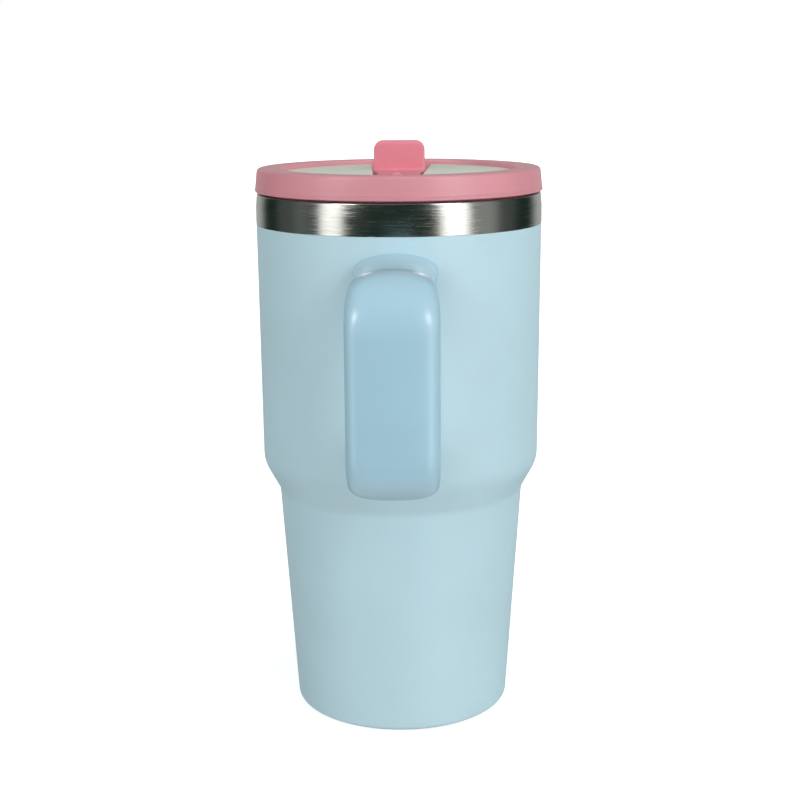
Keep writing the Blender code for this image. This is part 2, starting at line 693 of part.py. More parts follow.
def make_flip_lever(hinge):
    """The lever, with its barrel on the hinge pin and a small finger nib on its tip."""
    wide = TAB_HALF_W + 2 * MM
    mesh = prism_mesh("flip_lever", lever_side(), -wide, wide, "YZ")
    lever = add_part("flip_lever", mesh, "pink_plastic")
    barrel = add_cutter("lever_barrel", cylinder_mesh(
        "lever_barrel", BARREL_R, (-BARREL_HALF_L, HINGE_Y, HINGE_Z),
        (BARREL_HALF_L, HINGE_Y, HINGE_Z)))
    plan = add_cutter("lever_plan", prism_mesh(
        "lever_plan", tongue_outline(), HINGE_Z - 6 * MM, TAB_TOP_Z + 2 * MM))
    front = add_cutter("lever_front", prism_mesh(
        "lever_front", tab_front(), -25 * MM, 45 * MM, "XZ"))
    nib_mesh = bpy.data.meshes.new("lever_nib")
    shape = bmesh.new()
    bmesh.ops.create_uvsphere(shape, u_segments=12, v_segments=8, radius=1.0)
    bmesh.ops.scale(shape, vec=NIB_SIZE, verts=shape.verts)
    bmesh.ops.translate(shape, vec=(0, NIB_Y, TONGUE_TOP_Z), verts=shape.verts)
    shape.to_mesh(nib_mesh)
    shape.free()
    nib = add_cutter("lever_nib", nib_mesh)
    bore = add_cutter("lever_bore", cylinder_mesh(
        "lever_bore", PIN_R + GAP, (-wide, HINGE_Y, HINGE_Z), (wide, HINGE_Y, HINGE_Z), segments=16))
    combine(lever, plan, "INTERSECT")
    combine(lever, front, "INTERSECT")
    combine(lever, barrel, "UNION")
    combine(lever, nib, "UNION")
    combine(lever, bore, "DIFFERENCE")
    ride_on(hinge, lever)


def make_hinge_pin():
    pin = add_part("hinge_pin", cylinder_mesh(
        "hinge_pin", PIN_R, (-PIN_HALF_L, HINGE_Y, HINGE_Z),
        (PIN_HALF_L, HINGE_Y, HINGE_Z), segments=16), "brushed_steel")
    smooth(pin)


def make_stopper(hinge):
    """Silicone stopper under the tongue: a flange on the channel's floor and a tapered plug."""
    stem_top = TONGUE_TOP_Z - TONGUE_T - GAP
    flange_low = CHANNEL_FLOOR_Z + GAP
    flange_top = flange_low + STOPPER_FLANGE_T
    line = rounded_line([
        (0.0, stem_top, 0.0), (STOPPER_STEM_R, stem_top, 0.0),
        (STOPPER_STEM_R, flange_top, 0.6 * MM), (STOPPER_FLANGE_R, flange_top, 0.5 * MM),
        (STOPPER_FLANGE_R, flange_low, 0.3 * MM), (STOPPER_PLUG_R, flange_low, 0.0),
        (STOPPER_TIP_R, STOPPER_TIP_Z, 0.8 * MM), (0.0, STOPPER_TIP_Z, 0.0)], 2)
    stopper = turned_solid("drink_stopper", line, "clear_silicone", steps=24)
    stopper.location = (0.0, DRINK_Y, 0.0)
    ride_on(hinge, stopper)


def ride_on(hinge, piece):
    """Parent a piece to the hinge's empty without moving it."""
    piece.parent = hinge
    piece.matrix_parent_inverse.translation = -hinge.location


def make_hinge_empty():
    hinge = bpy.data.objects.new("lever_hinge", None)
    hinge.location = (0.0, HINGE_Y, HINGE_Z)
    PARTS.objects.link(hinge)
    return hinge


def build_tumbler():
    make_outer_wall()
    make_inner_liner()
    make_foil_wrap()
    make_base()
    make_handle()
    for level, arm_z, underside in arm_levels():
        make_bracket(level, arm_z)
        make_screw(level, arm_z, underside)
    make_lid_body()
    make_inserts()
    make_lid_underside()
    make_gasket()
    hinge = make_hinge_empty()
    make_flip_lever(hinge)
    make_hinge_pin()
    make_stopper(hinge)


clear_scene()
PARTS = new_collection("insulated_tumbler")
CUTTERS = new_collection("cutters")
FINISHES = make_materials()
build_tumbler()
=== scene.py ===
"""Looks of the insulated tumbler: finished meshes, materials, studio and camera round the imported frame."""

import math

import bmesh
import bpy
from mathutils import Matrix, Vector


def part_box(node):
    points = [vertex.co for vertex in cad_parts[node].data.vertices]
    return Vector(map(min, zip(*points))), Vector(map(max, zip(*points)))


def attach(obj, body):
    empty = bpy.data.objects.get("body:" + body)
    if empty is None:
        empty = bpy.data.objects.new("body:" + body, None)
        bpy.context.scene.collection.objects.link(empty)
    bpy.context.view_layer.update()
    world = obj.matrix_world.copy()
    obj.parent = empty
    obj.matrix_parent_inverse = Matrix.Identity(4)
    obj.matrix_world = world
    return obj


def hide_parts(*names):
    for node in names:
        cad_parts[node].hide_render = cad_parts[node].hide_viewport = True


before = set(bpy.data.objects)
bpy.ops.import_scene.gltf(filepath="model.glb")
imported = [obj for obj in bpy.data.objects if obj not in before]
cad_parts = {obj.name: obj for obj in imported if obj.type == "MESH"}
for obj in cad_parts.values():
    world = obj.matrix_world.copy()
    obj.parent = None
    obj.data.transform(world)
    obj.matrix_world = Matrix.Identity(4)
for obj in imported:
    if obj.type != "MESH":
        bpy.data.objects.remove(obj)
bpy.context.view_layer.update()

MM = 0.001
STEPS = 192                        # facets round a turned piece

# ---------------------------------------------------------------- sizes from the frame
WALL_LOW, WALL_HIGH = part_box("outer_wall")
LINER_LOW, LINER_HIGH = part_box("inner_liner")
PAD_LOW, PAD_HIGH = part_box("base_pad")
HANDLE_LOW, HANDLE_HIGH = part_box("handle")
LID_LOW, LID_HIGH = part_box("lid_body")
INSERT_LOW, INSERT_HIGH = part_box("right_insert")
COVER_LOW, COVER_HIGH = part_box("lid_underside")
GASKET_LOW, GASKET_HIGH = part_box("lid_gasket")
LEVER_LOW, LEVER_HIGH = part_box("flip_lever")
PIN_LOW, PIN_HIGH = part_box("hinge_pin")
STOPPER_LOW, STOPPER_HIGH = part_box("drink_stopper")
SCREW_BOXES = [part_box("upper_screw"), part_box("lower_screw")]

# Cup
STEEL_T = 0.7 * MM
WALL_SPACE = 3.6 * MM
BASE_R = 37.4 * MM
CREASE_R, CREASE_Z = 42.6 * MM, 79.0 * MM
SHOULDER_R, SHOULDER_Z = 47.95 * MM, 88.9 * MM
PAINT_TOP_R, PAINT_TOP_Z = WALL_HIGH.x, WALL_HIGH.z
RIM_R, RIM_Z = 48.1 * MM, LINER_HIGH.z
MOUTH_R, MOUTH_DEPTH = 46.0 * MM, 15.0 * MM
LINER_FLOOR_Z = LINER_LOW.z + STEEL_T
FLANGE_R = 30.0 * MM
SHOULDER_FILLET, CREASE_FILLET, BASE_FILLET = 11.0 * MM, 6.0 * MM, 2.4 * MM

# Handle
HANDLE_T = 11.5 * MM
HANDLE_SEAT_R = 48.35 * MM
ARM_HALF_W, GRIP_HALF_W = 12.2 * MM, HANDLE_HIGH.x
UPPER_BEND_R, LOWER_BEND_R = 18.0 * MM, 14.0 * MM
HANDLE_ROOT_Y = -44.0 * MM         # inside the wall, where the seat cuts the arms off
ARM_START_Y = -50.0 * MM           # just outside the wall
ARM_ROUND_IN, GRIP_ROUND_IN = 2.15, 3.2      # exponents of the section: 2 is an ellipse
ARM_ROUND_OUT, GRIP_ROUND_OUT = 2.0, 4.8
HANDLE_SIDES = 64

# Lid
LID_BEAD_R = LID_HIGH.x
LID_TOP_R, LID_TOP_Z = 47.9 * MM, LID_HIGH.z
LID_SEAT_Z = 181.8 * MM
LINE_HIGH_Z, LINE_LOW_Z = 183.1 * MM, 182.8 * MM      # the fine line above the ring's lower lip
RECESS_R = 40.0 * MM
DECK_Z = INSERT_HIGH.z
WEB_TOP_Z, WEB_T = INSERT_LOW.z - 0.3 * MM, 1.8 * MM
PLUG_R, PLUG_WALL_T, PLUG_LOW_Z = 44.6 * MM, 1.8 * MM, 168.0 * MM
GROOVE_R, GROOVE_HIGH_Z, GROOVE_LOW_Z = 43.9 * MM, 175.2 * MM, 171.8 * MM
CHANNEL_FLOOR_Z, TROUGH_WALL_T = 178.0 * MM, 1.8 * MM
CHANNEL_HALF_W = 9.3 * MM
CHANNEL_FLARE = math.tan(math.radians(2.75))
CHANNEL_END_R = 39.6 * MM
DRINK_Y = (STOPPER_LOW.y + STOPPER_HIGH.y) / 2
DRINK_R, DRINK_TUBE_R = 5.4 * MM, 6.6 * MM

# Lever
HINGE_Y = (PIN_LOW.y + PIN_HIGH.y) / 2
HINGE_Z = (PIN_LOW.z + PIN_HIGH.z) / 2
TAB_T = 4.2 * MM
TAB_FRONT_Y, TAB_BACK_Y = HINGE_Y - TAB_T / 2, HINGE_Y + TAB_T / 2
TAB_HALF_W, TAB_TOP_Z, TAB_CORNER_R = LEVER_HIGH.x, LEVER_HIGH.z, 3.2 * MM
TONGUE_TOP_Z, TONGUE_T = 187.7 * MM, 4.0 * MM
TONGUE_TIP_Y, TONGUE_TAPER = LEVER_LOW.y, 0.072
NIB_Y, NIB_HALF_SIZE = -34.6 * MM, (2.6 * MM, 1.3 * MM, 2.3 * MM)
BARREL_R, PIN_BORE_R = 3.4 * MM, 1.5 * MM


# ---------------------------------------------------------------- lines and meshes
def corner_arc(before, corner, after, radius, segments):
    """Points of the fillet of this radius at the corner of two straight runs."""
    into = (corner - before).normalized()
    out = (after - corner).normalized()
    turn = into.angle(out)
    if radius <= 0.0 or turn < 1e-4:
        return [corner]
    start = corner - into * radius * math.tan(turn / 2)
    side = (out - into * into.dot(out)).normalized()
    centre = start + side * radius
    points = []
    for step in range(segments + 1):
        angle = turn * step / segments
        points.append(centre - side * radius * math.cos(angle) + into * radius * math.sin(angle))
    return points


def rounded_line(corners, segments=8, closed=False):
    """A 2-D line through (x, y, fillet radius) corners, with each corner rounded."""
    spots = [Vector((x, y)) for x, y, radius in corners]
    count = len(corners)
    points = []
    for index, (x, y, radius) in enumerate(corners):
        if not closed and index in (0, count - 1):
            points.append(spots[index])
            continue
        after = spots[(index + 1) % count]
        points.extend(corner_arc(spots[index - 1], spots[index], after, radius, segments))
    return points


def new_object(name, mesh):
    piece = bpy.data.objects.new(name, mesh)
    bpy.context.scene.collection.objects.link(piece)
    return piece


def mesh_from(name, build):
    """A mesh made by a function that fills a bmesh."""
    shape = bmesh.new()
    build(shape)
    bmesh.ops.recalc_face_normals(shape, faces=shape.faces)
    mesh = bpy.data.meshes.new(name)
    shape.to_mesh(mesh)
    shape.free()
    return mesh


def loft(name, rings):
    """A closed skin through rings that have the same number of points."""
    def build(shape):
        rows = [[shape.verts.new(point) for point in ring] for ring in rings]
        count = len(rows[0])
        for row, following in zip(rows, rows[1:]):
            for i in range(count):
                j = (i + 1) % count
                shape.faces.new((row[i], row[j], following[j], following[i]))
        shape.faces.new(rows[0])
        shape.faces.new(rows[-1])
    return mesh_from(name, build)


def turned(name, line, closed=False, thickness=0.0, steps=STEPS):
    """A piece turned round Z from (radius, height) points; a thickness makes a line a sheet."""
    mesh = bpy.data.meshes.new(name)
    edges = [(i, i + 1) for i in range(len(line) - 1)]
    if closed:
        edges.append((len(line) - 1, 0))
    mesh.from_pydata([(p.x, 0.0, p.y) for p in line], edges, [])
    piece = new_object(name, mesh)
    screw = piece.modifiers.new("Turn", "SCREW")
    screw.steps = steps
    screw.render_steps = steps
    screw.use_merge_vertices = True
    screw.merge_threshold = 0.00001
    if thickness:
        sheet = piece.modifiers.new("Sheet", "SOLIDIFY")
        sheet.thickness = thickness
        sheet.offset = -1.0
        sheet.use_even_offset = True
    return piece


def cylinder(name, radius, start, end, segments=96):
    def build(shape):
        run = Vector(end) - Vector(start)
        bmesh.ops.create_cone(shape, cap_ends=True, segments=segments, radius1=radius,
                              radius2=radius, depth=run.length)
        turn = Vector((0, 0, 1)).rotation_difference(run.normalized()).to_matrix()
        bmesh.ops.rotate(shape, matrix=turn, verts=shape.verts)
        bmesh.ops.translate(shape, vec=(Vector(start) + Vector(end)) / 2, verts=shape.verts)
    return mesh_from(name, build)


def box(name, low, high):
    def build(shape):
        bmesh.ops.create_cube(shape, size=1.0)
        bmesh.ops.scale(shape, vec=Vector(high) - Vector(low), verts=shape.verts)
        bmesh.ops.translate(shape, vec=(Vector(high) + Vector(low)) / 2, verts=shape.verts)
    return mesh_from(name, build)


def combine(piece, mesh, operation):
    """A Boolean with a mesh that is removed once the piece is finished."""
    cutter = new_object(f"{piece.name}_{mesh.name}", mesh)
    boolean = piece.modifiers.new(operation.title(), "BOOLEAN")
    boolean.object = cutter
    boolean.operation = operation
    boolean.solver = "EXACT"


def finish_mesh(piece, sharp=32.0):
    """Apply every modifier, remove the cutters and shade the result smooth between sharp edges."""
    cutters = [m.object for m in piece.modifiers if m.type == "BOOLEAN"]
    evaluated = piece.evaluated_get(bpy.context.evaluated_depsgraph_get())
    mesh = bpy.data.meshes.new_from_object(evaluated)
    piece.modifiers.clear()
    piece.data = mesh
    for cutter in cutters:
        bpy.data.objects.remove(cutter, do_unlink=True)
    mesh.shade_smooth()
    mesh.set_sharp_from_angle(angle=math.radians(sharp))
    return piece


def settle(piece, body, material, node):
    """Finish a piece: its material, the body it rides on, and the CAD node it stands for."""
    piece.data.materials.clear()
    piece.data.materials.append(material)
    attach(piece, body)
    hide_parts(node)


# ---------------------------------------------------------------- materials
NOISE_LOW, NOISE_HIGH = 0.3, 0.7   # where nearly all of a noise texture's values lie


class Surface:
    """A Principled material and short ways to add procedural detail to it."""

    def __init__(self, name):
        self.material = bpy.data.materials.new(name)
        self.material.use_nodes = True
        self.nodes = self.material.node_tree.nodes
        self.links = self.material.node_tree.links
        self.shader = self.nodes["Principled BSDF"]
        self.place = self.nodes.new("ShaderNodeTexCoord").outputs["Object"]
        self.bumped = None

    def put(self, values):
        """Set plain values on the shader's own sockets."""
        for socket, value in values.items():
            self.shader.inputs[socket].default_value = value
        return self

    def stretched(self, factors):
        """The object's coordinates, each multiplied by its factor."""
        scale = self.nodes.new("ShaderNodeVectorMath")
        scale.operation = "MULTIPLY"
        scale.inputs[1].default_value = factors
        self.links.new(self.place, scale.inputs[0])
        return scale.outputs["Vector"]

    def noise(self, scale, detail=3.0, roughness=0.5, factors=None):
        texture = self.nodes.new("ShaderNodeTexNoise")
        texture.inputs["Scale"].default_value = scale
        texture.inputs["Detail"].default_value = detail
        texture.inputs["Roughness"].default_value = roughness
        where = self.stretched(factors) if factors else self.place
        self.links.new(where, texture.inputs["Vector"])
        return texture.outputs["Fac"]

    def ranged(self, value, low, high):
        """A noise value spread over the range from low to high."""
        span = self.nodes.new("ShaderNodeMapRange")
        span.inputs["From Min"].default_value = NOISE_LOW
        span.inputs["From Max"].default_value = NOISE_HIGH
        span.inputs["To Min"].default_value = low
        span.inputs["To Max"].default_value = high
        self.links.new(value, span.inputs["Value"])
        return span.outputs["Result"]

    def color(self, value, first, second):
        ramp = self.nodes.new("ShaderNodeValToRGB")
        ramp.color_ramp.elements[0].position = NOISE_LOW
        ramp.color_ramp.elements[1].position = NOISE_HIGH
        ramp.color_ramp.elements[0].color = (*first, 1.0)
        ramp.color_ramp.elements[1].color = (*second, 1.0)
        self.links.new(value, ramp.inputs["Fac"])
        self.links.new(ramp.outputs["Color"], self.shader.inputs["Base Color"])
        return self

    def roughness(self, value, low, high):
        self.links.new(self.ranged(value, low, high), self.shader.inputs["Roughness"])
        return self

    def bump(self, value, distance):
        """Relief of a depth in metres, on top of any relief added before."""
        bump = self.nodes.new("ShaderNodeBump")
        bump.inputs["Strength"].default_value = 1.0
        bump.inputs["Distance"].default_value = distance
        self.links.new(value, bump.inputs["Height"])
        if self.bumped:
            self.links.new(self.bumped, bump.inputs["Normal"])
        self.bumped = bump.outputs["Normal"]
        self.links.new(self.bumped, self.shader.inputs["Normal"])
        return self


def near(color, change):
    """The same colour a little lighter or darker."""
    return tuple(channel * change for channel in color)


BLUE = (0.435, 0.605, 0.670)
HANDLE_BLUE = (0.330, 0.520, 0.622)
RING_PINK = (0.590, 0.248, 0.285)
LEVER_PINK = (0.650, 0.208, 0.265)
STEEL = (0.640, 0.635, 0.600)
INSERT = (0.625, 0.672, 0.585)
SILICONE = (0.780, 0.780, 0.760)
RUBBER = (0.330, 0.460, 0.520)
COPPER = (0.800, 0.450, 0.300)
GETTER = (0.250, 0.250, 0.260)
BRAZE = (0.300, 0.280, 0.260)
ZINC = (0.620, 0.620, 0.620)
PIN_STEEL = (0.600, 0.600, 0.580)
WHITE = (1.0, 1.0, 1.0)
GREENISH = (0.55, 1.0, 0.80)


def powder_coat():
    surface = Surface("powder_coat").put({"IOR": 1.5, "Coat Weight": 0.12, "Coat Roughness": 0.3})
    surface.color(surface.noise(35.0), near(BLUE, 0.975), near(BLUE, 1.02))
    surface.roughness(surface.noise(240.0), 0.42, 0.50)
    surface.bump(surface.noise(650.0, 2.0), 0.00003)
    return surface.bump(surface.noise(2600.0, 2.0), 0.00001).material


def handle_plastic():
    surface = Surface("handle_plastic").put({"IOR": 1.5, "Coat Weight": 0.65, "Coat Roughness": 0.18})
    surface.color(surface.noise(40.0), near(HANDLE_BLUE, 0.97), near(HANDLE_BLUE, 1.02))
    surface.roughness(surface.noise(300.0), 0.36, 0.42)
    return surface.bump(surface.noise(500.0, 2.0), 0.000002).material


def brushed_steel(name, lines, low, high):
    """Steel brushed round the cup's axis, with so many scratches a metre up the wall."""
    surface = Surface(name).put({"Metallic": 1.0, "Anisotropic": 0.6, "Anisotropic Rotation": 0.25})
    scratches = surface.noise(1.0, 3.0, 0.6, (85.0, 85.0, lines))
    grain = surface.noise(1.0, 4.0, 0.65, (30.0, 30.0, 2.2 * lines))
    surface.color(grain, near(STEEL, 0.90), near(STEEL, 1.08))
    surface.roughness(scratches, low, high)
    tangent = surface.nodes.new("ShaderNodeTangent")
    tangent.direction_type = "RADIAL"
    tangent.axis = "Z"
    surface.links.new(tangent.outputs["Tangent"], surface.shader.inputs["Tangent"])
    surface.bump(grain, 0.00001)
    return surface.bump(scratches, 0.000015).material


def plain_metal(name, color, low, high, scale, depth):
    surface = Surface(name).put({"Metallic": 1.0})
    surface.color(surface.noise(scale), near(color, 0.9), near(color, 1.08))
    surface.roughness(surface.noise(scale * 2.0), low, high)
    return surface.bump(surface.noise(scale * 1.5, 4.0), depth).material


def pink_plastic(name, color, low, high):
    surface = Surface(name).put({"IOR": 1.48, "Coat Weight": 0.2, "Coat Roughness": 0.22})
    surface.color(surface.noise(45.0), near(color, 0.96), near(color, 1.03))
    surface.roughness(surface.noise(320.0), low, high)
    surface.bump(surface.noise(700.0, 2.0), 0.00002)
    return surface.bump(surface.noise(3200.0, 2.0), 0.000006).material


def insert_plastic():
    surface = Surface("insert_plastic").put({"IOR": 1.45, "Specular IOR Level": 0.20})
    surface.color(surface.noise(22.0, 2.0), near(INSERT, 0.98), near(INSERT, 1.02))
    surface.roughness(surface.noise(35.0, 2.0), 0.44, 0.52)
    return surface.bump(surface.noise(60.0, 1.0), 0.000002).material


def silicone():
    surface = Surface("clear_silicone").put({"IOR": 1.41, "Transmission Weight": 0.15})
    surface.color(surface.noise(80.0), near(SILICONE, 0.95), near(SILICONE, 1.03))
    surface.roughness(surface.noise(500.0), 0.42, 0.52)
    return surface.bump(surface.noise(1800.0, 2.0), 0.00001).material


def base_rubber():
    surface = Surface("base_rubber").put({"IOR": 1.45})
    surface.color(surface.noise(120.0), near(RUBBER, 0.93), near(RUBBER, 1.05))
    surface.roughness(surface.noise(600.0), 0.62, 0.75)
    return surface.bump(surface.noise(2200.0, 3.0), 0.00003).material


# ---------------------------------------------------------------- cup
def wall_corners(inset):
    """Corners of the cup wall from the paint's top edge down, moved in by inset."""
    drop = 0.2 * inset             # keeps the sloping shoulder as thick as the rest
    return [
        (PAINT_TOP_R - inset, PAINT_TOP_Z, 0.0),
        (SHOULDER_R - inset, SHOULDER_Z - drop, SHOULDER_FILLET - inset),
        (CREASE_R - inset, CREASE_Z - drop, CREASE_FILLET + inset),
    ]


def make_wall(material):
    """The painted wall, with a rolled paint edge under the bare band and a turned-in foot."""
    corners = wall_corners(0.0)
    corners[0] = (PAINT_TOP_R, PAINT_TOP_Z, 0.35 * MM)
    corners.insert(0, (PAINT_TOP_R - STEEL_T, PAINT_TOP_Z, 0.0))
    corners.append((BASE_R, WALL_LOW.z, BASE_FILLET))
    corners.append((FLANGE_R, WALL_LOW.z, 0.3 * MM))
    corners.append((FLANGE_R, WALL_LOW.z + STEEL_T, 0.0))
    corners.append((BASE_R - STEEL_T, WALL_LOW.z + STEEL_T, BASE_FILLET - STEEL_T))
    corners.extend(reversed(wall_corners(STEEL_T)[1:]))
    wall = turned("cup_wall", rounded_line(corners, 12), closed=True)
    settle(finish_mesh(wall), "cup", material, "outer_wall")


def make_liner(band_material, inside_material):
    """The liner with a raised disc on its floor, its rolled rim and the bare band outside."""
    inside = wall_corners(WALL_SPACE)
    floor, raised = LINER_FLOOR_Z, LINER_FLOOR_Z + 0.5 * MM
    mouth_low = RIM_Z - MOUTH_DEPTH
    band_low_r = PAINT_TOP_R + 0.05 * MM
    corners = [
        (0.0, raised, 0.0), (7.0 * MM, raised, 1.0 * MM), (8.5 * MM, floor, 1.0 * MM),
        (BASE_R - WALL_SPACE, floor, 7.0 * MM), inside[2], inside[1],
        (PAINT_TOP_R - WALL_SPACE, mouth_low - 4.0 * MM, 2.0 * MM), (MOUTH_R, mouth_low, 2.0 * MM),
        (MOUTH_R, RIM_Z, 1.3 * MM), (RIM_R, RIM_Z, 0.55 * MM),
        (band_low_r, PAINT_TOP_Z + 6.0 * MM, 3.0 * MM), (band_low_r, PAINT_TOP_Z, 0.0)]
    liner = turned("steel_liner", rounded_line(corners, 8), thickness=STEEL_T)
    finish_mesh(liner, 50.0)
    settle(liner, "cup", band_material, "inner_liner")
    liner.data.materials.append(inside_material)
    for face in liner.data.polygons:
        if math.hypot(face.center.x, face.center.y) < MOUTH_R + 0.2 * MM:
            face.material_index = 1


def make_base_pad(material):
    """The pad, with five shallow ring grooves in its flat underside."""
    first_groove, pitch, round_r = 5.0 * MM, 4.6 * MM, 0.1 * MM
    roof = PAD_LOW.z + 0.35 * MM
    corners = [(0.0, PAD_HIGH.z, 0.0), (PAD_HIGH.x, PAD_HIGH.z, 0.15 * MM),
               (PAD_HIGH.x, PAD_LOW.z, 0.4 * MM)]
    for ring in range(5):
        outer = PAD_HIGH.x - first_groove - pitch * ring
        corners += [(outer, PAD_LOW.z, round_r), (outer - 0.4 * MM, roof, round_r),
                    (outer - 1.4 * MM, roof, round_r), (outer - 1.8 * MM, PAD_LOW.z, round_r)]
    corners.append((0.0, PAD_LOW.z, 0.0))
    pad = turned("base_pad_ribbed", rounded_line(corners, 3))
    settle(finish_mesh(pad, 40.0), "cup", material, "base_pad")


# ---------------------------------------------------------------- handle
def handle_path():
    """Centre line of the handle in Y and Z, out of the upper arm's root and back to the lower's."""
    half = HANDLE_T / 2
    top, bottom = HANDLE_HIGH.z - half, HANDLE_LOW.z + half
    front = HANDLE_LOW.y + half
    line = rounded_line([
        (HANDLE_ROOT_Y, top, 0.0), (front, top, UPPER_BEND_R - half),
        (front, bottom, LOWER_BEND_R - half), (HANDLE_ROOT_Y, bottom, 0.0)], 28)
    points = []
    for first, second in zip(line, line[1:]):
        pieces = max(1, round((second - first).length / (1.5 * MM)))
        points += [first.lerp(second, step / pieces) for step in range(pieces)]
    return points + [line[-1]]


def smoothstep(value):
    value = max(0.0, min(1.0, value))
    return value * value * (3.0 - 2.0 * value)


def between(first, second, share):
    return first + (second - first) * share


def handle_ring(spot, along):
    """The section at a point: an oval on the arms, wider and flatter in front on the grip."""
    outwards = Vector((-along.y, along.x))
    reach = (ARM_START_Y - spot.x) / (ARM_START_Y - HANDLE_LOW.y - HANDLE_T / 2)
    grip = smoothstep(reach * 2.5 - 1.5)                       # 0 on the arms, 1 on the grip
    root_flare = 1.0 + 0.10 * smoothstep(1.0 - reach * 5.0)    # the arms swell at the wall
    half_w = between(ARM_HALF_W, GRIP_HALF_W, grip) * root_flare
    power_in = 2.0 / between(ARM_ROUND_IN, GRIP_ROUND_IN, grip)
    power_out = 2.0 / between(ARM_ROUND_OUT, GRIP_ROUND_OUT, grip)
    ring = []
    for step in range(HANDLE_SIDES):
        angle = 2 * math.pi * step / HANDLE_SIDES
        c, s = math.cos(angle), math.sin(angle)
        power = power_out if s > 0 else power_in
        across = math.copysign(abs(c) ** power, c) * half_w
        out = math.copysign(abs(s) ** power, s) * HANDLE_T / 2 * root_flare
        flat = spot + outwards * out
        ring.append((across, flat.x, flat.y))
    return ring


def make_handle(material):
    """The moulded loop, cut to the wall's curve, with a recess for each screw's head."""
    path = handle_path()
    rings = []
    for index, spot in enumerate(path):
        along = path[min(index + 1, len(path) - 1)] - path[max(index - 1, 0)]
        rings.append(handle_ring(spot, along.normalized()))
    handle = new_object("handle_moulding", loft("handle_moulding", rings))
    combine(handle, cylinder("seat", HANDLE_SEAT_R, (0, 0, 60 * MM), (0, 0, 200 * MM), 286),
            "DIFFERENCE")
    for low, high in SCREW_BOXES:
        middle = (low + high) / 2
        radius = (high.x - low.x) / 2 + 0.3 * MM
        combine(handle, cylinder("recess", radius, (0, middle.y, low.z - 3.6 * MM),
                                 (0, middle.y, low.z + 2.1 * MM), 48), "DIFFERENCE")
    settle(finish_mesh(handle), "cup", material, "handle")


def make_screws(material):
    """Pan-head screws with a cross recess, heads down in the arms' undersides."""
    for name, (low, high) in zip(("upper_screw", "lower_screw"), SCREW_BOXES):
        middle = (low + high) / 2
        head_r, shank_r, head_t = (high.x - low.x) / 2, 1.5 * MM, 1.8 * MM
        cross_reach, cross_half, cross_depth = 1.7 * MM, 0.35 * MM, 0.9 * MM
        line = rounded_line([
            (0.0, high.z, 0.0), (shank_r * 0.6, high.z, 0.0), (shank_r, high.z - 0.8 * MM, 0.0),
            (shank_r, low.z + head_t, 0.1 * MM), (head_r, low.z + head_t, 0.2 * MM),
            (head_r, low.z, 1.0 * MM), (0.0, low.z, 0.0)], 6)
        screw = turned(f"{name}_cross", line, steps=48)
        screw.location = (0.0, middle.y, 0.0)
        for x, y in ((cross_reach, cross_half), (cross_half, cross_reach)):
            combine(screw, box("cross", (-x, middle.y - y, low.z - MM),
                               (x, middle.y + y, low.z + cross_depth)), "DIFFERENCE")
        settle(finish_mesh(screw), "cup", material, name)


# ---------------------------------------------------------------- lid
def channel_side(margin, y):
    """Half the channel's width at y, moved out by margin."""
    return CHANNEL_HALF_W + margin + CHANNEL_FLARE * (y - TAB_FRONT_Y)


def side_meets_circle(margin, radius, sign):
    """Where the channel's side, moved out by margin, meets a circle round the lid's axis."""
    offset = channel_side(margin, 0.0)
    a = 1 + CHANNEL_FLARE ** 2
    b = 2 * CHANNEL_FLARE * offset
    c = offset ** 2 - radius ** 2
    y = (-b + sign * math.sqrt(b * b - 4 * a * c)) / (2 * a)
    return offset + CHANNEL_FLARE * y, y


def channel_ring(margin, z, end_margin=None, arc_steps=20):
    """Plan of the channel at a height, as a loop of points."""
    radius = CHANNEL_END_R + (margin if end_margin is None else end_margin)
    points = []
    for sign in (-1, 1):
        x, y = side_meets_circle(margin, radius, sign)
        half = math.atan2(x, abs(y))
        for step in range(arc_steps + 1):
            angle = half * (2 * step / arc_steps - 1)
            points.append((-sign * math.sin(angle) * radius, sign * math.cos(angle) * radius, z))
    return points


def channel_cut():
    """The channel as one cutter: rounded along its floor and where it breaks the web."""
    floor, deck = CHANNEL_FLOOR_Z, WEB_TOP_Z
    # Millimetres that each ring stands out from the channel's plan, and the ring's height.
    steps = [(-0.8, floor), (-0.55, floor + 0.05 * MM), (-0.23, floor + 0.23 * MM),
             (-0.05, floor + 0.55 * MM), (0.0, floor + 0.8 * MM), (0.0, deck - 0.4 * MM),
             (0.05, deck - 0.2 * MM), (0.2, deck - 0.05 * MM), (0.4, deck),
             (0.4, LID_TOP_Z + 3 * MM)]
    rings = [channel_ring(margin * MM, z, min(margin, 0.1) * MM) for margin, z in steps]
    return loft("channel", rings)


